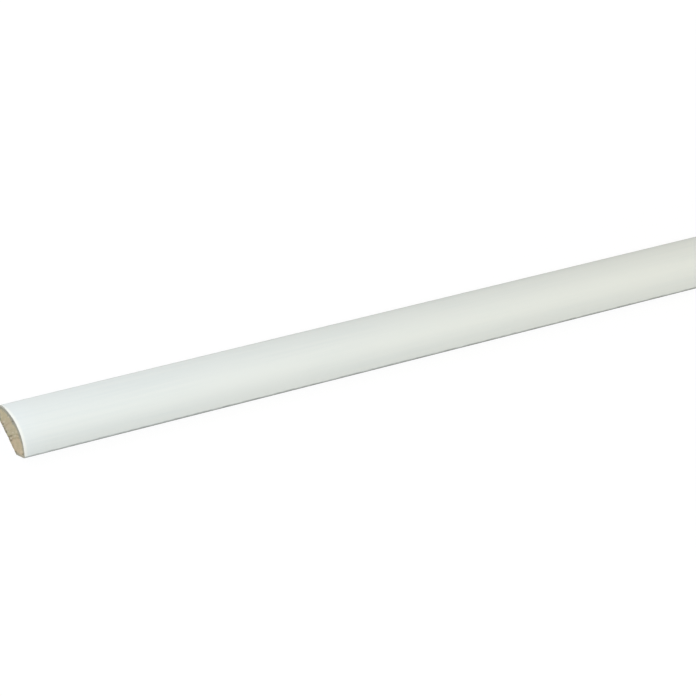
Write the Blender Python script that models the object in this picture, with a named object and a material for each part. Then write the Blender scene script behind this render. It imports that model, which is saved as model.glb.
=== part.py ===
# Quarter-round moulding, one length of softwood with a white coat.
# The show face is a quarter of a cylinder about the corner where floor and wall would meet.
# Two narrow flats at a right angle bear on that floor and wall, and the wood between them is
# cut away at 45 degrees, which leaves a raw flat back.
# The section is drawn as the moulding is fitted: X along the stock, -Y along the floor away
# from the wall, Z up the wall. The finished piece is then laid on its back, show face up.
# Lengths are in metres.

import math

import bmesh
import bpy
from mathutils import Vector

STOCK_LENGTH = 1.0  # between the two sawn ends
FACE_RADIUS = 0.015  # radius of the show face, and reach of each flat from the corner
FLAT_WIDTH = 0.005  # each flat, measured to the sharp corners of the section
FACE_EASING = 0.0004  # fillet where the show face meets a flat
BACK_EASING = 0.0003  # fillet where a flat meets the back
FACE_STEPS = 48  # straight steps round the show face
EASING_STEPS = 4  # straight steps round each fillet
SMOOTH_LIMIT = math.radians(30.0)  # edges that turn more than this stay sharp

COAT_COLOUR = (0.79, 0.83, 0.80, 1.0)
COAT_ROUGHNESS = 0.45
WOOD_COLOUR = (0.46, 0.39, 0.28, 1.0)
WOOD_ROUGHNESS = 0.85


def clear_scene():
    for item in list(bpy.data.objects):
        bpy.data.objects.remove(item, do_unlink=True)


def plain_material(name, colour, roughness):
    material = bpy.data.materials.new(name)
    material.use_nodes = True
    shader = material.node_tree.nodes["Principled BSDF"]
    shader.inputs["Base Color"].default_value = colour
    shader.inputs["Roughness"].default_value = roughness
    shader.inputs["Metallic"].default_value = 0.0
    material.diffuse_color = colour
    return material


def arc(out, up, radius, start, end, steps):
    """Points of an arc in the section. Out runs along the floor, up runs up the wall."""
    angles = [start + (end - start) * step / steps for step in range(steps + 1)]
    return [Vector((out + radius * math.cos(a), up + radius * math.sin(a))) for a in angles]


def section_outline():
    """The section as five arcs. The straight runs between them are the flats and the back."""
    right, straight = math.radians(90.0), math.radians(180.0)
    back_angle = straight + right / 2  # direction that the back faces
    # The face fillet touches the show face from inside, and the flat, which is radial.
    face_centre = FACE_RADIUS - FACE_EASING
    lean = math.asin(FACE_EASING / face_centre)
    face_reach = face_centre * math.cos(lean)
    # The back fillet touches a flat and the back, which turn through half a right angle.
    back_reach = FACE_RADIUS - FLAT_WIDTH + BACK_EASING * math.tan(right / 4)
    floor_nose = arc(face_reach, FACE_EASING, FACE_EASING, -right, lean, EASING_STEPS)
    show_face = arc(0.0, 0.0, FACE_RADIUS, lean, right - lean, FACE_STEPS)
    wall_nose = arc(FACE_EASING, face_reach, FACE_EASING, right - lean, straight, EASING_STEPS)
    wall_heel = arc(BACK_EASING, back_reach, BACK_EASING, straight, back_angle, EASING_STEPS)
    floor_heel = arc(back_reach, BACK_EASING, BACK_EASING, back_angle, straight + right, EASING_STEPS)
    # The show face shares its first and last points with the noses.
    return floor_nose + show_face[1:-1] + wall_nose + wall_heel + floor_heel


def make_quarter_round():
    bm = bmesh.new()
    outline = [bm.verts.new((-STOCK_LENGTH / 2, -p.x, p.y)) for p in section_outline()]
    end_face = bm.faces.new(outline)
    drawn = bmesh.ops.extrude_face_region(bm, geom=[end_face], use_keep_orig=True)
    far_verts = [item for item in drawn["geom"] if isinstance(item, bmesh.types.BMVert)]
    bmesh.ops.translate(bm, verts=far_verts, vec=(STOCK_LENGTH, 0.0, 0.0))
    bmesh.ops.recalc_face_normals(bm, faces=bm.faces)

    to_corner = Vector((0.0, 1.0, -1.0)).normalized()
    for face in bm.faces:
        sawn_end = abs(face.normal.x) > 0.9
        raw_back = face.normal.dot(to_corner) > 0.999
        face.material_index = 1 if sawn_end or raw_back else 0

    mesh = bpy.data.meshes.new("quarter_round")
    bm.to_mesh(mesh)
    bm.free()
    mesh.shade_smooth()
    mesh.set_sharp_from_angle(angle=SMOOTH_LIMIT)
    mesh.materials.append(plain_material("white_coat", COAT_COLOUR, COAT_ROUGHNESS))
    mesh.materials.append(plain_material("raw_softwood", WOOD_COLOUR, WOOD_ROUGHNESS))

    moulding = bpy.data.objects.new("quarter_round", mesh)
    bpy.context.scene.collection.objects.link(moulding)
    return moulding


def lay_on_back(moulding):
    """Turn the fitted moulding by half a right angle, so that its back lies on Z = 0."""
    tilt = math.radians(45.0)
    moulding.rotation_euler = (-tilt, 0.0, 0.0)
    moulding.location = (0.0, 0.0, -(FACE_RADIUS - FLAT_WIDTH) * math.cos(tilt))


clear_scene()
lay_on_back(make_quarter_round())
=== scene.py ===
# White quarter-round moulding, one length lying on its raw back, seen towards a sawn end.
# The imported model's own frame: X along the stock, Z up out of the back. Meshes, lamps and camera are in
# metres, places and depths in the wood and coat materials in millimetres.
import math

import bmesh
import bpy
from mathutils import Matrix, Vector, kdtree, noise


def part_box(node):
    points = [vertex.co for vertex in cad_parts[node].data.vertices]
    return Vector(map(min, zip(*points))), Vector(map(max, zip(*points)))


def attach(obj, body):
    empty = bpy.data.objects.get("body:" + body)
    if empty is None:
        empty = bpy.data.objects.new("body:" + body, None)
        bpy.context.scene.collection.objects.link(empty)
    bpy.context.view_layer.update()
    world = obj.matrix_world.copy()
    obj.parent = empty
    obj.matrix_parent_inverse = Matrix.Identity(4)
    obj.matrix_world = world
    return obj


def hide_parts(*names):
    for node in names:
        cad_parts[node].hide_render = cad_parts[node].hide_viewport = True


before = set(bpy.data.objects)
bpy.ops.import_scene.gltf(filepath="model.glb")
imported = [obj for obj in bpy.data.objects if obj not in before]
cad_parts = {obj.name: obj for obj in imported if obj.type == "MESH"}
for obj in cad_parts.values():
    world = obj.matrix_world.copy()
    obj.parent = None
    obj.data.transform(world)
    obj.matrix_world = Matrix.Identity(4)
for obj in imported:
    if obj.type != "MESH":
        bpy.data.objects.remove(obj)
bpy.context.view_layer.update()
mm = 0.001


# Sizes of the section, shared by the mesh, the materials and the camera

section = {
    "faceRadius": 15.0 * mm,  # show face, about the corner where floor and wall would meet
    "noseRound": 0.42 * mm,  # where the show face turns into a flat
    "heelRound": 0.3 * mm,  # where a flat turns into the back
    "coatThickness": 0.12 * mm,  # cut edge of the white coat, as it shows on a sawn end
    "layAngle": math.radians(45.0),  # turn from as fitted in its corner to lying on its back
    "flatDepth": 1.4,  # how much more the depth under a flat counts than that under the show face
}
lowCorner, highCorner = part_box("quarter_round")
stockLength = highCorner.x - lowCorner.x
cornerDrop = section["faceRadius"] - highCorner.z  # the corner line lies this far under the floor
backReach = cornerDrop / math.cos(section["layAngle"])  # from the corner to where the back cuts a flat
layDown = Matrix.Translation((0, 0, -cornerDrop)) @ Matrix.Rotation(-section["layAngle"], 4, "X")


# Small helpers for shader nodes; a span and a pair of ends are written (low, high)

wideSpan = (0.2, 0.8)  # nearly all the values of a noise
mostSpan = (0.25, 0.75)  # most of them
middleSpan = (0.3, 0.7)  # the middle ones


def feed(tree, node, inputs):
    for name, value in inputs.items():
        if isinstance(value, bpy.types.NodeSocket):
            tree.links.new(value, node.inputs[name])
        else:
            node.inputs[name].default_value = value


def addNode(tree, kind, inputs=None, **settings):
    made = tree.nodes.new("ShaderNode" + kind)
    for name, value in settings.items():
        setattr(made, name, value)
    feed(tree, made, inputs or {})
    return made


# Takes the values in turn, so that "ADD" with three of them is their sum
def maths(tree, operation, first, *others, clamp=False):
    for other in others or (0.0,):
        made = addNode(tree, "Math", {0: first, 1: other}, operation=operation, use_clamp=clamp)
        first = made.outputs[0]
    return first


def times(tree, *values):
    return maths(tree, "MULTIPLY", *values)


def plus(tree, *values):
    return maths(tree, "ADD", *values)


def minus(tree, *values):
    return maths(tree, "SUBTRACT", *values)


# Turns a span of values into the way from one end to the other, and holds the ends beyond it
def ramp(tree, value, span, ends=(0.0, 1.0), smooth=True):
    (low, high), (start, end) = span, ends
    inputs = {"Value": value, "From Min": low, "From Max": high, "To Min": start, "To Max": end}
    curve = "SMOOTHSTEP" if smooth else "LINEAR"
    return addNode(tree, "MapRange", inputs, interpolation_type=curve).outputs[0]


def fadeOut(tree, value, span, full=1.0):
    return ramp(tree, value, span, (full, 0.0))


def eitherWay(tree, value, by, span=mostSpan, smooth=True):
    return ramp(tree, value, span, (-by, by), smooth)


def blendColour(tree, amount, first, second, mode="MIX"):
    inputs = {"Factor": amount, 6: first, 7: second}  # 6 and 7 are the colour pair, A and B
    return addNode(tree, "Mix", inputs, data_type="RGBA", blend_type=mode).outputs[2]


def splitUp(tree, vector):
    return addNode(tree, "SeparateXYZ", {0: vector}).outputs


def joinUp(tree, first, second):
    return addNode(tree, "CombineXYZ", {0: first, 1: second}).outputs[0]


def lengthOf(tree, vector):
    return addNode(tree, "VectorMath", {0: vector}, operation="LENGTH").outputs["Value"]


def stretched(tree, place, scale):
    return addNode(tree, "VectorMath", {0: place, 1: scale}, operation="MULTIPLY").outputs[0]


def speckle(tree, place, repeats, detail, rough=0.5):
    inputs = {"Vector": place, "Scale": repeats, "Detail": detail, "Roughness": rough}
    return addNode(tree, "TexNoise", inputs).outputs[0]


# Noise drawn out along the stock, with its repeats per mm along and across the grain
def streaks(tree, place, along, across, detail, rough):
    return speckle(tree, stretched(tree, place, (along, across, across)), 1.0, detail, rough)


# Place as seen by a pattern that is turned about X, has its own size in mm and lies about a middle
def turned(tree, place, angle, size, middle=(0, 0)):
    inputs = {"Vector": place, "Location": (0, *middle), "Rotation": (angle, 0, 0), "Scale": (1, *size)}
    return addNode(tree, "Mapping", inputs, vector_type="TEXTURE").outputs[0]


# Bump whose height is the sum of some patterns, each with its own depth in mm
def addRelief(tree, shader, strength, patterns):
    height = plus(tree, *[times(tree, pattern, depth) for pattern, depth in patterns])
    bump = addNode(tree, "Bump", {"Strength": strength, "Distance": 1.0 * mm, "Height": height})
    feed(tree, shader, {"Normal": bump.outputs[0]})


def newGroup(name, inputs, outputs):
    tree = bpy.data.node_groups.new(name, "ShaderNodeTree")
    for label, kind, start in inputs:
        socket = tree.interface.new_socket(label, in_out="INPUT", socket_type="NodeSocket" + kind)
        socket.default_value = start
    for label, kind in outputs:
        tree.interface.new_socket(label, in_out="OUTPUT", socket_type="NodeSocket" + kind)
    return tree, tree.nodes.new("NodeGroupInput").outputs, tree.nodes.new("NodeGroupOutput")


def useGroup(tree, group, **inputs):
    named = {name.replace("_", " "): value for name, value in inputs.items()}
    return addNode(tree, "Group", named, node_tree=group).outputs


# Material with its tree, its shader and the place on the moulding in mm
def newMaterial(name):
    made = bpy.data.materials.new(name)
    made.use_nodes = True
    tree = made.node_tree
    place = addNode(tree, "TexCoord").outputs["Object"]
    return made, tree, tree.nodes["Principled BSDF"], stretched(tree, place, (1 / mm, 1 / mm, 1 / mm))


# Where a point lies in the section, in mm

def sectionGroup():
    outputs = [(name, "Float") for name in ("Under Coat", "Above Back", "From End", "From Nose", "Side")]
    tree, given, out = newGroup("sectionPlace", [("Place", "Vector", (0, 0, 0))], outputs)
    x, y, z = splitUp(tree, given["Place"])
    radius, drop, turn = section["faceRadius"] / mm, cornerDrop / mm, section["layAngle"]
    side = maths(tree, "ABSOLUTE", y)
    upFromCorner = plus(tree, z, drop)
    underFace = minus(tree, radius, lengthOf(tree, joinUp(tree, y, upFromCorner)))
    underFlat = times(tree, minus(tree, upFromCorner, side), section["flatDepth"] * math.cos(turn))
    noseSide, noseUp = radius * math.sin(turn), radius * math.cos(turn) - drop
    toNose = joinUp(tree, minus(tree, side, noseSide), minus(tree, z, noseUp))
    feed(tree, out, {
        "Under Coat": maths(tree, "MINIMUM", underFace, underFlat),
        "Above Back": z,
        "From End": minus(tree, stockLength / 2 / mm, maths(tree, "ABSOLUTE", x)),
        "From Nose": lengthOf(tree, toNose),
        "Side": y,
    })
    return tree


# Growth rings, fibres and resin canals of the softwood, solid through the whole stock.
# Each noise is given by its repeats per mm along and across the grain, its detail and its roughness.

pine = {
    "pith": (-35.5, -8.2),  # heart of the tree, Y and Z in mm
    "rings": ((28.4, 0.3), (31.2, 0.35), (33.3, 0.3), (35.0, 0.9), (36.2, 1.0), (38.3, 0.35), (40.6, 0.8),
              (43.2, 0.4), (45.9, 0.35)),  # mm from the pith, and how dark each late wood is; ten at most
    "ringSpan": (26.0, 50.0),  # mm from the pith that the stock could reach
    "ringRise": 0.8,  # mm over which a ring darkens
    "ringFall": 0.24,  # mm over which it then stops short
    "ringCurve": 1.5,  # above 1, the darkening comes late
    "wander": (0.006, 0.11, 1.0, 0.5),  # how the rings stray from round over several years
    "wanderReach": 0.9,  # mm
    "wobble": (0.02, 0.9, 1.0, 0.5),  # how they stray within a year
    "wobbleReach": 0.25,  # mm
    "fade": (0.02, 0.4, 1.0, 0.5),  # where a ring is fainter along its arc
    "fadeSpan": (0.35, 0.6),
    "faintest": 0.45,  # of a ring's strength
    "early": (0.590, 0.476, 0.308, 1),
    "late": (0.330, 0.235, 0.130, 1),
    "drift": (0.039, 0.39, 1.0, 0.5),  # faint hues that drift through the wood
    "driftSpan": (0.35, 0.65),
    "olive": (0.985, 1.005, 0.975, 1),
    "rosy": (1.015, 0.995, 1.00, 1),
    "hues": ((30.0, (1.02, 0.995, 0.96)), (33.8, (1.03, 0.995, 0.96)), (36.6, (0.93, 0.975, 0.94)),
             (38.0, (0.95, 0.985, 0.95)), (40.0, (1.0, 1.0, 1.0)),
             (45.0, (0.99, 1.0, 0.97))),  # mm from the pith, and the hue of the wood grown there
    "fibre": (0.12, 5.0, 3.0, 0.6),
    "fibreShade": 0.17,  # lighter and darker by this share
    "hairs": (0.15, 13.0, 2.0, 0.6),  # finest fibres
    "hairShade": 0.12,
    "blotch": (0.03, 0.35, 2.0, 0.5),
    "blotchShade": (0.90, 1.10),
    "canal": (0.36, 0.26, 0.15, 1),  # resin canals, dots on a sawn end and dashes along the grain
    "canalRepeats": (0.05, 1.3),  # per mm along and across the grain
    "canalSize": (0.045, 0.09),  # of the distance between them: its dark core, and where it ends
    "canalShade": 0.55,
}


# Colours by distance from the pith in mm
def byDistance(tree, distance, stops):
    nearest, furthest = pine["ringSpan"]
    made = addNode(tree, "ValToRGB", {0: ramp(tree, distance, pine["ringSpan"], smooth=False)})
    drawn = made.color_ramp.elements
    drawn.remove(drawn[1])
    for index, (place, colour) in enumerate(stops):
        at = (place - nearest) / (furthest - nearest)
        stop = drawn.new(at) if index else drawn[0]
        stop.position, stop.color = at, (*colour, 1)
    return made.outputs[0]


def ringStops():
    black = (0.0, 0.0, 0.0)
    stops = [(pine["ringSpan"][0], black)]
    for place, dark in pine["rings"]:
        stops.append((place - pine["ringRise"], black))
        stops.append((place, (dark, dark, dark)))
        stops.append((place + pine["ringFall"], black))
    return stops


def pineGroup():
    inputs = [("Place", "Vector", (0, 0, 0)), ("Ring Strength", "Float", 1.0),
              ("Fibre Strength", "Float", 1.0)]
    outputs = [("Color", "Color"), ("Ring", "Float"), ("Fibre", "Float")]
    tree, given, out = newGroup("pineGrain", inputs, outputs)
    middle = {0: given["Place"], 1: (0, *pine["pith"])}
    fromPith = addNode(tree, "VectorMath", middle, operation="SUBTRACT").outputs[0]
    grain = {name: streaks(tree, fromPith, *pine[name])
             for name in ("wander", "wobble", "fade", "fibre", "hairs", "blotch", "drift")}

    distance = plus(tree, lengthOf(tree, stretched(tree, fromPith, (0, 1, 1))),
                    eitherWay(tree, grain["wander"], pine["wanderReach"], (0, 1), smooth=False),
                    eitherWay(tree, grain["wobble"], pine["wobbleReach"], (0, 1), smooth=False))
    ring = times(tree, byDistance(tree, distance, ringStops()),
                 ramp(tree, grain["fade"], pine["fadeSpan"], (pine["faintest"], 1.0)))
    ring = maths(tree, "POWER", ring, pine["ringCurve"])
    ring = maths(tree, "MULTIPLY", ring, given["Ring Strength"], clamp=True)

    along, across = pine["canalRepeats"]
    canals = {"Vector": stretched(tree, fromPith, (along, across, across)), "Scale": 1.0}
    fromCanal = addNode(tree, "TexVoronoi", canals).outputs["Distance"]
    canal = fadeOut(tree, fromCanal, pine["canalSize"], pine["canalShade"])
    shade = plus(tree, eitherWay(tree, grain["fibre"], pine["fibreShade"], smooth=False),
                 eitherWay(tree, grain["hairs"], pine["hairShade"], smooth=False))
    shade = plus(tree, times(tree, shade, given["Fibre Strength"]),
                 ramp(tree, grain["blotch"], wideSpan, pine["blotchShade"], smooth=False))
    hue = blendColour(tree, ramp(tree, grain["drift"], pine["driftSpan"]), pine["olive"], pine["rosy"])

    colour = blendColour(tree, ring, pine["early"], pine["late"])
    colour = blendColour(tree, canal, colour, pine["canal"])
    for tint in (hue, byDistance(tree, distance, pine["hues"]), shade):
        colour = blendColour(tree, 1.0, colour, tint, "MULTIPLY")
    feed(tree, out, {"Color": colour, "Ring": ring, "Fibre": grain["fibre"]})
    return tree


# Sawdust and torn fibres that the blade dragged over the coat's edge at a sawn end

sawdust = {
    "colour": (0.36, 0.335, 0.27, 1),
    "cover": 0.9,
    "wallNose": (5.0, 10.0),  # mm across, from where its reach grows to where that is full
    "reach": (0.09, 0.55),  # mm from a sawn end, over most of the face and at the wall nose
    "grit": (2.5, 2.0),  # noise that makes its edge ragged: repeats per mm and detail
    "ragged": (0.6, 1.4),  # shares of the reach
    "edge": (0.75, 1.2),  # shares of the reach over which it fades
}


def sawdustGroup():
    tree, given, out = newGroup("sawdustFilm", [("Place", "Vector", (0, 0, 0))], [("Dust", "Float")])
    spot = useGroup(tree, sectionPlace, Place=given["Place"])
    grit = speckle(tree, given["Place"], *sawdust["grit"])
    reach = times(tree, ramp(tree, spot["Side"], sawdust["wallNose"], sawdust["reach"]),
                  ramp(tree, grit, middleSpan, sawdust["ragged"], smooth=False))
    covered = maths(tree, "DIVIDE", spot["From End"], reach)
    feed(tree, out, {"Dust": fadeOut(tree, covered, sawdust["edge"], sawdust["cover"])})
    return tree


sectionPlace = sectionGroup()
pineGrain = pineGroup()
sawdustFilm = sawdustGroup()
print("stage 1: shared shader groups are ready")


# White coat on the show face and the two flats; its noises are given as the wood's are

coat = {
    "colour": (0.795, 0.805, 0.762, 1),
    "cool": (0.767, 0.785, 0.748, 1),  # thinner film, seen as faint streaks along the grain
    "streak": (0.012, 0.8, 3.0, 0.55),
    "streakSpan": (0.35, 0.7),
    "cloud": (0.02, 0.06, 2.0, 0.5),  # stretches with more of the streaks and with fewer
    "endHighlight": (0.915, 0.893, 0.815, 1),  # painted highlight: lighter white along each sawn end, where the rounded edge catches light
    "endHighlightWidth": (0.51, 1.7),  # mm from a sawn end: where it is full, and where it ends
    "noseShade": (0.300, 0.313, 0.292, 1),  # painted shade: grey on the noses, where each turns under, away from the light
    "noseShadeWidth": (0.285, 0.95),  # mm from the sharp line of a nose
    "noseShadeNoise": (0.3, 3.0, 4.0, 0.65),  # noise along the edge of the painted nose shade
    "noseShadeStray": 0.15,  # mm
    "floorNoseShade": ((0.0, 38.0), (0.76, 1.0)),  # mm from a sawn end, and the share of painted nose shade there, fainter where more light reaches round the end
    "wallNoseShade": ((0.0, 90.0), (0.22, 0.45)),
    "wallBandShade": (0.90, 0.91, 0.91, 1),  # painted shade: a faint darker band along the wall nose
    "wallBandWidth": (1.08, 3.6),  # mm from the nose
    "wallBandGrown": ((20.0, 220.0), (0.1, 0.8)),  # mm from a sawn end, and the share of painted shade there
    "peel": (1.4, 1.0),  # fine unevenness: repeats per mm and detail
    "roughness": (0.39, 0.46),
    "specular": 0.3,
    "relief": (0.004, 0.002, 0.004),  # mm, of the streaks, the unevenness and the rings under the coat
    "bump": 0.6,
}


# Painted shade on both noses: a grey band where each turns away from the light, fainter near a sawn end
def paintedNoseShade(tree, place, spot, wallSide):
    noseShadeNoise = streaks(tree, place, *coat["noseShadeNoise"])
    away = minus(tree, spot["From Nose"], eitherWay(tree, noseShadeNoise, coat["noseShadeStray"], middleSpan))
    floorShare, wallShare = [ramp(tree, spot["From End"], *coat[name]) for name in ("floorNoseShade", "wallNoseShade")]
    share = ramp(tree, wallSide, (0, 1), (floorShare, wallShare), smooth=False)
    return times(tree, fadeOut(tree, away, coat["noseShadeWidth"]), share)


def coatMaterial():
    made, tree, shader, place = newMaterial("whiteCoat")
    spot = useGroup(tree, sectionPlace, Place=place)
    wood = useGroup(tree, pineGrain, Place=place)
    film = useGroup(tree, sawdustFilm, Place=place)
    streak = streaks(tree, place, *coat["streak"])
    cloud = streaks(tree, place, *coat["cloud"])
    peel = speckle(tree, place, *coat["peel"])
    wallSide = maths(tree, "GREATER_THAN", spot["Side"], 0.0)

    thin = times(tree, ramp(tree, streak, coat["streakSpan"]), ramp(tree, cloud, middleSpan))
    colour = blendColour(tree, thin, coat["colour"], coat["cool"])
    # Painted highlight: lighter white along each sawn end
    colour = blendColour(tree, fadeOut(tree, spot["From End"], coat["endHighlightWidth"]), colour, coat["endHighlight"])
    # Painted shade: a faint darker band along the wall nose, growing away from the sawn end
    wallBandShade = times(tree, fadeOut(tree, spot["From Nose"], coat["wallBandWidth"]), wallSide,
                 ramp(tree, spot["From End"], *coat["wallBandGrown"]))
    colour = blendColour(tree, wallBandShade, colour, blendColour(tree, 1.0, colour, coat["wallBandShade"], "MULTIPLY"))
    # Painted shade: a grey band on each nose
    colour = blendColour(tree, paintedNoseShade(tree, place, spot, wallSide), colour, coat["noseShade"])
    colour = blendColour(tree, film["Dust"], colour, sawdust["colour"])
    rough = ramp(tree, peel, wideSpan, coat["roughness"], smooth=False)
    feed(tree, shader, {"Base Color": colour, "Roughness": rough, "Specular IOR Level": coat["specular"]})
    addRelief(tree, shader, coat["bump"], zip((streak, peel, wood["Ring"]), coat["relief"]))
    return made


# Cut edge of the coat, a thin line round the sawn wood, greyed partly by sawdust and partly as painted
# shade

coatEdge = {
    "film": (0.82, 0.79, 0.68, 1),
    "chalkyAndShade": (0.64, 0.61, 0.52, 1),  # where the break is rough; greyer partly from sawdust and partly as painted shade
    "chalkySpan": (0.45, 0.75),
    "grit": (3.0, 2.0),  # noise of the break: repeats per mm and detail
    "smeared": 0.6,  # share of the sawdust film that stays on it
    "roughness": (0.6, 0.8),
    "relief": 0.03,  # mm
    "bump": 0.5,
}


def coatEdgeMaterial():
    made, tree, shader, place = newMaterial("coatEdge")
    film = useGroup(tree, sawdustFilm, Place=place)
    grit = speckle(tree, place, *coatEdge["grit"])
    chalkyAndShade = ramp(tree, grit, coatEdge["chalkySpan"])
    colour = blendColour(tree, chalkyAndShade, coatEdge["film"], coatEdge["chalkyAndShade"])
    colour = blendColour(tree, times(tree, film["Dust"], coatEdge["smeared"]), colour, sawdust["colour"])
    rough = ramp(tree, grit, wideSpan, coatEdge["roughness"])
    feed(tree, shader, {"Base Color": colour, "Roughness": rough})
    addRelief(tree, shader, coatEdge["bump"], [(grit, coatEdge["relief"])])
    return made


# Sawn end grain

sawn = {
    "ringStrength": 0.8,
    "rim": (0.355, 0.335, 0.262, 1),  # wood sealed and greyed just under the coat
    "rimShade": 0.85,
    "rimWidth": (0.595, 1.7),  # mm under the coat: where it is full, and where it ends
    "rimEdge": (0.9, 6.0, 0.6),  # noise along its inner edge: repeats per mm, detail and roughness
    "rimStray": 0.6,  # mm
    "rimCrown": (2.0, 2.6, 0.55),  # it is deeper here: place across, half width and extra depth in mm
    "rimSides": ((-8.0, 0.0), (0.75, 1.0)),  # mm across, and its strength there
    "soaked": (0.240, 0.222, 0.175, 1),  # darker patches of it
    "soak": (0.75, 1.0),  # their noise: repeats per mm and detail
    "soakShare": ((0.5, 0.68), (0.0, 0.55)),  # of the noise, and how dark it turns
    "tornFibreShade": (0.19, 0.160, 0.120, 1),  # torn fibres along the back's edge, darkened partly as painted shade in the tear-outs
    "tornFibreNoise": (0.95, 0.5, 6.0, 0.65),  # repeats per mm across and up, detail and roughness
    "tornFibreShare": ((0.42, 0.56), (0.25, 1.0)),
    "tornFibreReach": (0.375, 1.5),  # mm up from the back: where it is full, and where it ends
    "tornFibreFoot": ((0.0, 0.4), (0.5, 1.0)),  # mm up from the back, and its strength there
    "tornFibreSides": ((-2.5, 0.5), (0.45, 0.8)),  # mm across, and its strength there
    "fleck": (0.74, 0.645, 0.49, 1),  # pale broken fibres near the back, splinters and saw marks
    "fleckNoise": (2.4, 0.9, 5.0, 0.65),
    "fleckShare": ((0.53, 0.66), (0.0, 0.5)),
    "fleckReach": (0.5, 3.2),  # mm up from the back
    "bladePitch": 1.15,  # mm between the deeper saw marks
    "bladeTilt": math.radians(18),  # of all saw marks from level, rising towards the wall side
    "scratch": (3.3, 0.14, 2.0, 0.6),  # fine saw marks: mm along and across, detail and roughness
    "scratchShare": ((0.5, 0.8), (0.0, 0.25)),
    "tears": ((-0.9, 2.2, 0.95), (-0.3, 0.6, 0.7), (1.5, 0.7, 0.8), (3.0, 0.5, 0.6), (4.5, 0.8, 0.9),
              (-2.0, 1.1, 0.9), (-6.1, 0.5, 0.7), (2.3, 6.7, 0.7), (4.3, 6.9, 0.5),
              (-8.9, 3.6, 0.7)),  # Y, Z and half length in mm
    "splinters": ((4.9, 1.8, 0.9), (2.2, 1.6, 0.8), (1.1, 1.5, 0.6), (-0.7, 4.0, 0.7), (-2.0, 4.3, 0.9),
                  (-1.4, 1.5, 0.8), (4.5, 5.8, 0.6), (-1.5, 6.1, 0.7), (-7.8, 3.3, 0.8)),
    "slender": 0.36,  # width of a tear or splinter as a share of its length
    "markLift": ((0.0, 1.6), (0.42, 0.0)),  # half lengths from its middle, and what it adds to the strands
    "strand": (0.12, 0.55, 4.0, 0.6),  # torn fibres: mm across and along, detail and roughness
    "fray": (0.63, 0.88),  # from where a mark begins to show in the strands to where it is full
    "outline": (2.2, 5.0, 0.75),  # noise that bends the marks: repeats per mm, detail and roughness
    "outlineReach": 1.3,  # mm
    # torn-out late wood, darkened partly as painted shade in the pits
    "tearAndShade": (0.130, 0.102, 0.072, 1),
    "tearShade": 0.7,
    "splinterShade": 0.65,
    "roughness": (0.78, 0.95),
    "specular": 0.25,
    "relief": (0.06, 0.01, 0.05, -0.08),  # mm, of the fibres, the rings, the saw marks and the tears
    "bump": 0.7,
}


# Noise on a sawn end, with its repeats per mm across and up
def endSpeckle(tree, place, across, up, detail, rough):
    return speckle(tree, stretched(tree, place, (1, across, up)), 1.0, detail, rough)


def greyedRim(tree, place, spot, colour):
    middle, halfWidth, extra = sawn["rimCrown"]
    fromCrown = maths(tree, "ABSOLUTE", minus(tree, spot["Side"], middle))
    stray = eitherWay(tree, speckle(tree, place, *sawn["rimEdge"]), sawn["rimStray"])
    depth = plus(tree, spot["Under Coat"], stray)
    depth = minus(tree, depth, fadeOut(tree, fromCrown, (0.0, halfWidth), extra))
    rim = times(tree, fadeOut(tree, depth, sawn["rimWidth"], sawn["rimShade"]),
                ramp(tree, spot["Side"], *sawn["rimSides"]))
    soak = ramp(tree, speckle(tree, place, *sawn["soak"]), *sawn["soakShare"])
    return blendColour(tree, rim, colour, blendColour(tree, soak, sawn["rim"], sawn["soaked"]))


# Torn fibres along the back's edge, darkened partly as painted shade in the tear-outs, then pale flecks
def tornFootAndShade(tree, place, spot, colour):
    tornFibreShade = times(tree, ramp(tree, endSpeckle(tree, place, *sawn["tornFibreNoise"]), *sawn["tornFibreShare"]),
                 fadeOut(tree, spot["Above Back"], sawn["tornFibreReach"]),
                 ramp(tree, spot["Above Back"], *sawn["tornFibreFoot"]),
                 ramp(tree, spot["Side"], *sawn["tornFibreSides"]))
    colour = blendColour(tree, tornFibreShade, colour, sawn["tornFibreShade"])
    fleck = times(tree, ramp(tree, endSpeckle(tree, place, *sawn["fleckNoise"]), *sawn["fleckShare"]),
                  fadeOut(tree, spot["Above Back"], sawn["fleckReach"]))
    return blendColour(tree, fleck, colour, sawn["fleck"])


# Marks that lie along the rings and are frayed by the strands
def marksAlongRings(tree, place, strands, marks):
    pithY, pithZ = pine["pith"]
    found = 0.0
    for y, z, length in marks:
        lean = math.atan2(z - pithZ, y - pithY)
        away = lengthOf(tree, turned(tree, place, lean, (length * sawn["slender"], length), (y, z)))
        found = maths(tree, "MAXIMUM", ramp(tree, away, *sawn["markLift"], smooth=False), found)
    return ramp(tree, plus(tree, found, strands), sawn["fray"])


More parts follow.
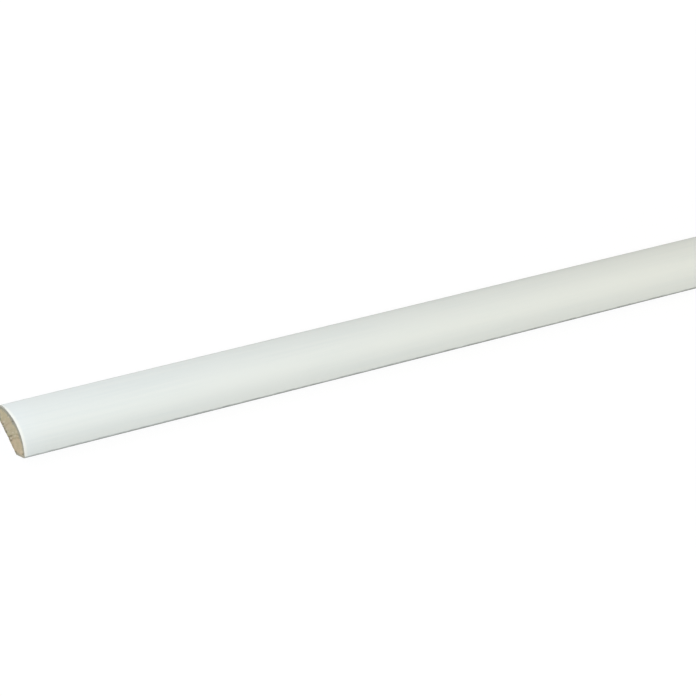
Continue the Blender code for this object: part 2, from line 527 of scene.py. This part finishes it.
# Colour with the tears and splinters of the near end, the tears darkened partly as painted shade, and those
# tears alone
def tornMarks(tree, place, colour):
    repeats, detail, rough = sawn["outline"]
    bend = {"Vector": place, "Scale": repeats, "Detail": detail, "Roughness": rough}
    bend = {0: addNode(tree, "TexNoise", bend).outputs["Color"], 1: (0.5, 0.5, 0.5)}
    bend = addNode(tree, "VectorMath", bend, operation="SUBTRACT").outputs[0]
    bend = stretched(tree, bend, (0, sawn["outlineReach"], sawn["outlineReach"]))
    bent = addNode(tree, "VectorMath", {0: stretched(tree, place, (0, 1, 1)), 1: bend}).outputs[0]
    pithY, pithZ = pine["pith"]
    awayFromPith = math.atan2(highCorner.z / 2 / mm - pithZ, -pithY)
    across, along, detail, rough = sawn["strand"]
    strands = speckle(tree, turned(tree, place, awayFromPith, (across, along)), 1.0, detail, rough)
    nearEnd = maths(tree, "LESS_THAN", splitUp(tree, place)[0], 0.0)
    tearAndShade = times(tree, marksAlongRings(tree, bent, strands, sawn["tears"]), nearEnd)
    splinter = times(tree, marksAlongRings(tree, bent, strands, sawn["splinters"]), nearEnd)
    # The tears darken partly for torn-out late wood and partly as painted shade in their pits
    colour = blendColour(tree, times(tree, tearAndShade, sawn["tearShade"]), colour, sawn["tearAndShade"])
    colour = blendColour(tree, times(tree, splinter, sawn["splinterShade"]), colour, sawn["fleck"])
    return colour, tearAndShade


def sawnMaterial():
    made, tree, shader, place = newMaterial("sawnEnd")
    spot = useGroup(tree, sectionPlace, Place=place)
    wood = useGroup(tree, pineGrain, Place=place, Ring_Strength=sawn["ringStrength"])
    colour = greyedRim(tree, place, spot, wood["Color"])
    colour = tornFootAndShade(tree, place, spot, colour)
    colour, tearAndShade = tornMarks(tree, place, colour)
    along, across, detail, rough = sawn["scratch"]
    scratch = speckle(tree, turned(tree, place, sawn["bladeTilt"], (along, across)), 1.0, detail, rough)
    colour = blendColour(tree, ramp(tree, scratch, *sawn["scratchShare"]), colour, sawn["fleck"])
    rough = ramp(tree, wood["Fibre"], wideSpan, sawn["roughness"])
    feed(tree, shader, {"Base Color": colour, "Roughness": rough, "Specular IOR Level": sawn["specular"]})
    addRelief(tree, shader, sawn["bump"], zip((wood["Fibre"], wood["Ring"], scratch, tearAndShade), sawn["relief"]))
    return made


# Raw back, planed along the grain

back = {
    "ringStrength": 1.5,
    "fibreStrength": 0.9,
    "overspray": (0.80, 0.82, 0.78, 1),
    "sprayShade": 0.85,
    "sprayReach": (0.1, 0.9),  # mm in from each heel: where it is full, and where it ends
    "sprayEdge": (0.12, 0.8, 3.0, 0.6),  # noise along its edge
    "sprayStray": 0.7,  # mm
    "knifePitch": 1.6,  # mm between the cutter's ripples
    "roughness": (0.7, 0.9),
    "specular": 0.3,
    "relief": (0.05, 0.004, 0.02),  # mm, of the fibres, the ripples and the rings
    "bump": 0.7,
}


def backMaterial():
    made, tree, shader, place = newMaterial("rawBack")
    spot = useGroup(tree, sectionPlace, Place=place)
    wood = useGroup(tree, pineGrain, Place=place, Ring_Strength=back["ringStrength"],
                    Fibre_Strength=back["fibreStrength"])
    fromHeel = minus(tree, cornerDrop / mm, maths(tree, "ABSOLUTE", spot["Side"]))
    stray = eitherWay(tree, streaks(tree, place, *back["sprayEdge"]), back["sprayStray"])
    spray = fadeOut(tree, plus(tree, fromHeel, stray), back["sprayReach"], back["sprayShade"])
    colour = blendColour(tree, spray, wood["Color"], back["overspray"])
    rough = ramp(tree, wood["Fibre"], wideSpan, back["roughness"])
    feed(tree, shader, {"Base Color": colour, "Roughness": rough, "Specular IOR Level": back["specular"]})
    ripple = maths(tree, "SINE", times(tree, splitUp(tree, place)[0], 2 * math.pi / back["knifePitch"]))
    addRelief(tree, shader, back["bump"], zip((wood["Fibre"], ripple, wood["Ring"]), back["relief"]))
    return made


finishes = [coatMaterial(), coatEdgeMaterial(), sawnMaterial(), backMaterial()]
coatSlot, edgeSlot, sawnSlot, backSlot = range(4)
print("stage 2: coat, cut edge, sawn end and raw back are ready")


# The moulding, drawn as fitted in its corner and then laid on its back

moulding = {
    "faceSteps": 64,
    "noseSteps": 6,
    "heelSteps": 4,
    "lengthStep": 10.0 * mm,  # between the cuts across the stock
    "sawnEdge": 0.08 * mm,  # rounding left round each sawn end
    "sawnEdgeSteps": 3,
    "sawnGrid": 0.4 * mm,  # mesh of the sawn ends
    "sawDepth": 0.03 * mm,  # relief of the blade's marks
    "furDepth": 0.05 * mm,  # relief of the cut fibres
    "furRepeats": 2.2,  # per mm
    "furSeed": 18.5,  # for the two ends to differ, a seed has the sign of the end's own X
    "chipDepth": 0.35 * mm,  # fibres torn out along the back's edge
    "chipReach": 1.0 * mm,  # up from the back
    "chipRepeats": (1.3, 4.1),  # per mm, of the large chips and of the small ones
    "smallChips": 0.5,  # their depth beside that of the large ones
    "chipSeed": 11.3,
    "flakeDepth": 0.14 * mm,  # coat flaked off round a sawn end
    "flakeRepeats": 1.7,  # per mm
    "flakeHold": 0.2,  # of the noise, up to where the coat holds
    "smoothAngle": math.radians(35),  # edges sharper than this stay sharp
}
sideLean = 0.5  # a face whose normal leans less than this along X is on a side
endLean = 0.9  # and one that leans more than this is on a sawn end
merge = 0.001 * mm  # points nearer than this are one
onPlane = 1e-7  # metres from a plane at which a point counts as lying on it


# Arc in the section; angles grow from the floor side, over the face, to the wall side
def spinArc(bm, middle, radius, start, turn, steps):
    first = bm.verts.new(middle + radius * Vector((0, -math.cos(start), math.sin(start))))
    spun = bmesh.ops.spin(bm, geom=[first], cent=middle, axis=(-1, 0, 0), angle=turn, steps=steps)
    return first, next(item for item in spun["geom_last"] if isinstance(item, bmesh.types.BMVert))


def drawSection(bm, x):
    quarter = math.radians(90)
    nose, heel = section["noseRound"], section["heelRound"]
    lean = math.asin(nose / (section["faceRadius"] - nose))
    noseReach = (section["faceRadius"] - nose) * math.cos(lean)
    heelReach = backReach + heel * math.tan(quarter / 4)
    arcs = [
        ((noseReach, nose), nose, -quarter, quarter + lean, moulding["noseSteps"]),
        ((0, 0), section["faceRadius"], lean, quarter - 2 * lean, moulding["faceSteps"]),
        ((nose, noseReach), nose, quarter - lean, quarter + lean, moulding["noseSteps"]),
        ((heel, heelReach), heel, 2 * quarter, quarter / 2, moulding["heelSteps"]),
        ((heelReach, heel), heel, 2.5 * quarter, quarter / 2, moulding["heelSteps"]),
    ]
    ends = [spinArc(bm, Vector((x, -out, up)), radius, start, turn, steps)
            for (out, up), radius, start, turn, steps in arcs]
    for (_, last), (first, _) in zip(ends, ends[1:] + ends[:1]):
        if (last.co - first.co).length > 10 * merge:
            bm.edges.new((last, first))
    bmesh.ops.remove_doubles(bm, verts=bm.verts, dist=merge)
    bmesh.ops.contextual_create(bm, geom=bm.edges[:])
    outline = [layDown @ vert.co for vert in bm.faces[:][0].verts]
    ring = bmesh.ops.inset_region(bm, faces=bm.faces[:], thickness=section["coatThickness"],
                                  use_boundary=True, use_even_offset=True)
    for face in bm.faces:
        face.material_index = sawnSlot
    for face in ring["faces"]:
        face.material_index = edgeSlot
    return outline


# The coat runs over the sides but not the back, so its cut edge stops there too
def shareFinishes(bm):
    for face in bm.faces:
        if face.normal.z < -0.999:
            face.material_index = backSlot
        elif abs(face.normal.x) < sideLean:
            face.material_index = coatSlot
        elif face.material_index == edgeSlot and face.calc_center_median().z < section["coatThickness"]:
            face.material_index = sawnSlot


# Cuts some faces, with their edges and points, along a plane
def cutAcross(bm, faces, place, direction):
    parts = dict.fromkeys(faces)
    for face in faces:
        parts.update(dict.fromkeys((*face.verts, *face.edges)))
    bmesh.ops.bisect_plane(bm, geom=list(parts), dist=onPlane, plane_co=place, plane_no=direction)


# Faces of the back, and of its rounding, beside the sawn ends
def backNearEnds(bm):
    near = stockLength / 2 - moulding["lengthStep"]
    return [face for face in bm.faces if abs(face.normal.y) < 0.05 and face.normal.z < -0.1
            and abs(face.calc_center_median().x) > near]


# Cuts the sides across the stock, and the sawn ends with the back beside them into a fine grid
def cutUp(bm):
    steps = round(stockLength / moulding["lengthStep"])
    for step in range(1, steps):
        sides = [face for face in bm.faces if abs(face.normal.x) < sideLean]
        cutAcross(bm, sides, (lowCorner.x + stockLength * step / steps, 0, 0), (1, 0, 0))
    for axis, direction in ((1, Vector((0, 1, 0))), (2, Vector((0, 0, 1)))):
        low, high = lowCorner[axis], highCorner[axis]
        lines = math.floor((high - low) / moulding["sawnGrid"])
        for line in range(1, lines):
            grid = [face for face in bm.faces
                    if face.material_index == sawnSlot and abs(face.normal.x) > endLean]
            if axis == 1:
                grid += backNearEnds(bm)
            cutAcross(bm, grid, direction * (low + (high - low) * line / lines), direction)


def buildMoulding():
    bm = bmesh.new()
    outline = drawSection(bm, lowCorner.x)
    drawn = bmesh.ops.extrude_face_region(bm, geom=bm.faces[:], use_keep_orig=True)
    moved = [item for item in drawn["geom"] if isinstance(item, bmesh.types.BMVert)]
    bmesh.ops.translate(bm, verts=moved, vec=(stockLength, 0, 0))
    bmesh.ops.transform(bm, matrix=layDown, verts=bm.verts)
    bmesh.ops.recalc_face_normals(bm, faces=bm.faces)
    shareFinishes(bm)
    rims = [edge for edge in bm.edges
            if sorted(round(abs(face.normal.x)) for face in edge.link_faces) == [0, 1]]
    bmesh.ops.bevel(bm, geom=rims, offset=moulding["sawnEdge"], offset_type="OFFSET", affect="EDGES",
                    segments=moulding["sawnEdgeSteps"], profile=0.5, material=-1)
    cutUp(bm)
    return bm, outline


# Moves a point into the stock from the sawn end that it lies on
def sinkIn(vert, depth):
    vert.co.x -= math.copysign(depth, vert.co.x)


# Presses the blade's marks and the cut fibres into the two sawn ends
def roughenEnds(bm):
    tilt, repeats = sawn["bladeTilt"], moulding["furRepeats"]
    inside = [vert for vert in bm.verts if abs(vert.co.x) > stockLength / 2 - onPlane
              and all(face.material_index == sawnSlot for face in vert.link_faces)]
    for vert in inside:
        seed = math.copysign(moulding["furSeed"], vert.co.x)
        y, z = vert.co.y / mm, vert.co.z / mm
        acrossMarks = z * math.cos(tilt) - y * math.sin(tilt)
        blade = 0.5 + 0.5 * math.sin(acrossMarks * 2 * math.pi / sawn["bladePitch"])
        fur = 0.5 + 0.5 * noise.noise(Vector((seed, y * repeats, z * repeats)))
        sinkIn(vert, moulding["sawDepth"] * blade + moulding["furDepth"] * fur)


# Tears fibres out along the back's edge and flakes the coat round each sawn end
def tearEdges(bm):
    nearEnd = stockLength / 2 - 1.5 * moulding["sawnEdge"]
    flatReach = cornerDrop - section["heelRound"]
    chip, flake = moulding["chipReach"], moulding["flakeRepeats"]
    large, small = moulding["chipRepeats"]
    for vert in bm.verts:
        if abs(vert.co.x) < nearEnd:
            continue
        seed = math.copysign(moulding["chipSeed"], vert.co.x)
        y, z = vert.co.y / mm, vert.co.z / mm
        torn = noise.noise(Vector((seed, y * large, 0.0)))
        torn += moulding["smallChips"] * noise.noise(Vector((seed, y * small, 3.0)))
        low = max(0.0, 1.0 - vert.co.z / chip) ** 2
        inner = min(1.0, max(0.0, (flatReach - abs(vert.co.y)) / chip))
        flaked = noise.noise(Vector((seed, y * flake, z * flake + 5.0))) - moulding["flakeHold"]
        sinkIn(vert, moulding["chipDepth"] * max(0.0, torn) * low * inner
               + moulding["flakeDepth"] * max(0.0, flaked) * (1.0 - low))


# Sheet for a baked picture: the sides in long strips, the sawn ends larger beside each other

bakeSheet = {
    "name": "OFBake",
    "size": 1024,
    "strips": 2,  # the stock's length is cut into this many
    "along": 2.0,  # pixels per mm along the strips, around the section and on the sawn ends
    "around": 8.4,
    "ends": 23.5,
    "gap": 10,  # pixels
    "endLean": 0.2,  # faces whose normals lean more than this along X lie with the ends
}


# Distance in mm round the section for each point of its outline, from the back's wall side over the back
def measureOutline(outline):
    onBack = [index for index, point in enumerate(outline) if point.z < merge]
    start = max(onBack, key=lambda index: outline[index].y)
    points = outline[start:] + outline[:start]
    if (points[1] - points[0]).length < (points[-1] - points[0]).length:
        points = points[:1] + points[:0:-1]
    around = [0.0]
    for first, second in zip(points, points[1:] + points[:1]):
        around.append(around[-1] + (second - first).length / mm)
    nearest = kdtree.KDTree(len(points))
    for index, point in enumerate(points):
        nearest.insert((0, point.y, point.z), index)
    nearest.balance()
    return nearest, around


def layOutBake(bm, outline):
    nearest, around = measureOutline(outline)
    whole = around[-1]
    layer = bm.loops.layers.uv.new(bakeSheet["name"])
    gap, size = bakeSheet["gap"], bakeSheet["size"]
    stripLength = stockLength / bakeSheet["strips"]
    stripHeight = whole * bakeSheet["around"] + gap
    endsUp = gap / 2 + stripHeight * bakeSheet["strips"]
    endScale = bakeSheet["ends"] / mm
    endWidth = (highCorner.y - lowCorner.y) * endScale + gap
    for face in bm.faces:
        if abs(face.normal.x) > bakeSheet["endLean"]:
            far = face.normal.x > 0
            for loop in face.loops:
                across = loop.vert.co.y - lowCorner.y if far else highCorner.y - loop.vert.co.y
                right = gap / 2 + endWidth * far + across * endScale
                loop[layer].uv = (right / size, (endsUp + loop.vert.co.z * endScale) / size)
            continue
        strip = int((face.calc_center_median().x - lowCorner.x) / stripLength)
        places = [around[nearest.find((0, loop.vert.co.y, loop.vert.co.z))[1]] for loop in face.loops]
        wraps = max(places) - min(places) > whole / 2
        for loop, place in zip(face.loops, places):
            if wraps and place < whole / 2:
                place += whole
            along = (loop.vert.co.x - lowCorner.x - strip * stripLength) / mm
            up = gap / 2 + strip * stripHeight + place * bakeSheet["around"]
            loop[layer].uv = ((gap + along * bakeSheet["along"]) / size, up / size)


def makeMoulding():
    bm, outline = buildMoulding()
    layOutBake(bm, outline)
    roughenEnds(bm)
    tearEdges(bm)
    mesh = bpy.data.meshes.new("quarterRound")
    bm.to_mesh(mesh)
    bm.free()
    for finish in finishes:
        mesh.materials.append(finish)
    mesh.shade_smooth()
    mesh.set_sharp_from_angle(angle=moulding["smoothAngle"])
    made = bpy.data.objects.new("quarterRound", mesh)
    bpy.context.scene.collection.objects.link(made)
    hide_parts("quarter_round")
    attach(made, "root")
    return made


quarterRound = makeMoulding()
print("stage 3: moulding has", len(quarterRound.data.polygons), "faces")


# Floor and surroundings: white to the eye, a plain pale room to the light

stage = {
    "floorHalf": 30.0,
    "floorColour": (0.66, 0.66, 0.65, 1),
    "floorRoughness": 0.9,
    "sink": 0.05 * mm,  # floor under the back, so that the two faces never share a plane
    "white": (1, 1, 1, 1),
    "glow": (0.93, 1.0),  # the floor's own white, beside the moulding and further off
    "glowSpread": (0.0, 0.25),  # metres from the moulding over which the glow grows
    "shadowShare": 0.08,  # share of the white that goes dark in the moulding's shadow
    "roomLight": 0.25,
    "roomColour": (1.0, 0.98, 0.94, 1),
}


# 1 for the eye, mirrors and glass, 0 for light that bounces
def seenDirectly(tree):
    path = addNode(tree, "LightPath").outputs
    return maths(tree, "MAXIMUM", path["Is Camera Ray"], path["Is Glossy Ray"], path["Is Transmission Ray"])


# Shows white to the eye, and to the light that bounces the other shader
def showWhite(tree, bounced, white, output):
    mixed = addNode(tree, "MixShader", {0: seenDirectly(tree), 1: bounced.outputs[0], 2: white.outputs[0]})
    feed(tree, tree.nodes[output], {"Surface": mixed.outputs[0]})


def floorMaterial():
    made = bpy.data.materials.new("paleFloor")
    made.use_nodes = True
    tree = made.node_tree
    bounced = tree.nodes["Principled BSDF"]
    feed(tree, bounced, {"Base Color": stage["floorColour"], "Roughness": stage["floorRoughness"]})
    x, y, _ = splitUp(tree, addNode(tree, "TexCoord").outputs["Object"])
    pastEnd = maths(tree, "MAXIMUM", minus(tree, maths(tree, "ABSOLUTE", x), stockLength / 2), 0.0)
    strength = ramp(tree, lengthOf(tree, joinUp(tree, pastEnd, y)), stage["glowSpread"], stage["glow"])
    glow = addNode(tree, "Emission", {"Color": stage["white"], "Strength": strength})
    shaded = addNode(tree, "BsdfDiffuse", {"Color": (*[stage["shadowShare"]] * 3, 1)})
    white = addNode(tree, "AddShader", {0: shaded.outputs[0], 1: glow.outputs[0]})
    showWhite(tree, bounced, white, "Material Output")
    return made


def makeFloor():
    bm = bmesh.new()
    bmesh.ops.create_grid(bm, x_segments=1, y_segments=1, size=stage["floorHalf"])
    bmesh.ops.translate(bm, verts=bm.verts, vec=(0, 0, -stage["sink"]))
    mesh = bpy.data.meshes.new("floor")
    bm.to_mesh(mesh)
    bm.free()
    mesh.materials.append(floorMaterial())
    floor = bpy.data.objects.new("floor", mesh)
    bpy.context.scene.collection.objects.link(floor)


def makeRoom():
    world = bpy.data.worlds.new("room")
    world.use_nodes = True
    bpy.context.scene.world = world
    tree = world.node_tree
    light = tree.nodes["Background"]
    feed(tree, light, {"Color": stage["roomColour"], "Strength": stage["roomLight"]})
    white = addNode(tree, "Background", {"Color": stage["white"], "Strength": 1.0})
    showWhite(tree, light, white, "World Output")


# Soft lamps: place, point aimed at, size in metres, watts and colour

lamps = {
    "leftFront": ((-1.0, -0.7, 1.0), (-0.35, 0, 0), 0.8, 8.45, (0.76, 0.86, 0.99)),
    "rightTop": ((0.3, 0.0, 1.0), (-0.35, 0, 0), 0.8, 5.6, (1.0, 0.93, 0.71)),
    "endBack": ((-0.8, 0.3, 0.35), (-0.5, 0, 0), 0.3, 1.85, (0.73, 0.83, 1.0)),
    "farEnd": ((0.72, -0.13, 0.19), (0.5, 0, 0), 0.2, 0.38, (0.95, 0.97, 1.0)),
}


def makeLamps():
    for name, (place, aim, size, watts, colour) in lamps.items():
        lamp = bpy.data.lights.new(name, "AREA")
        lamp.shape, lamp.size, lamp.energy, lamp.color = "SQUARE", size, watts, colour
        holder = bpy.data.objects.new(name, lamp)
        holder.location = place
        holder.rotation_euler = (Vector(aim) - Vector(place)).to_track_quat("-Z", "Y").to_euler()
        bpy.context.scene.collection.objects.link(holder)


# Camera: level with the floor and wall that the moulding would be fitted to, and laid down with it

cameraView = {
    "lens": 194.81,  # mm
    "sensor": 36.0,  # mm
    "azimuth": math.radians(-38.629),
    "elevation": math.radians(18.032),
    "fromEnd": (-0.65593, -1.00901, 0.42502),  # metres from the corner line at the near sawn end
    "clip": (0.01, 100.0),
}


def makeCamera():
    lens = bpy.data.cameras.new("camera")
    lens.lens, lens.sensor_width = cameraView["lens"], cameraView["sensor"]
    lens.clip_start, lens.clip_end = cameraView["clip"]
    turn = Matrix.Rotation(cameraView["azimuth"], 4, "Z")
    tilt = Matrix.Rotation(math.radians(90) - cameraView["elevation"], 4, "X")
    camera = bpy.data.objects.new("camera", lens)
    nearEnd = Matrix.Translation((lowCorner.x, 0, 0))
    camera.matrix_world = nearEnd @ layDown @ Matrix.Translation(cameraView["fromEnd"]) @ turn @ tilt
    bpy.context.scene.collection.objects.link(camera)
    bpy.context.scene.camera = camera


makeFloor()
makeRoom()
makeLamps()
makeCamera()
bpy.context.scene.view_settings.view_transform = "Standard"
print("stage 4: floor, room, lamps and camera are in place")
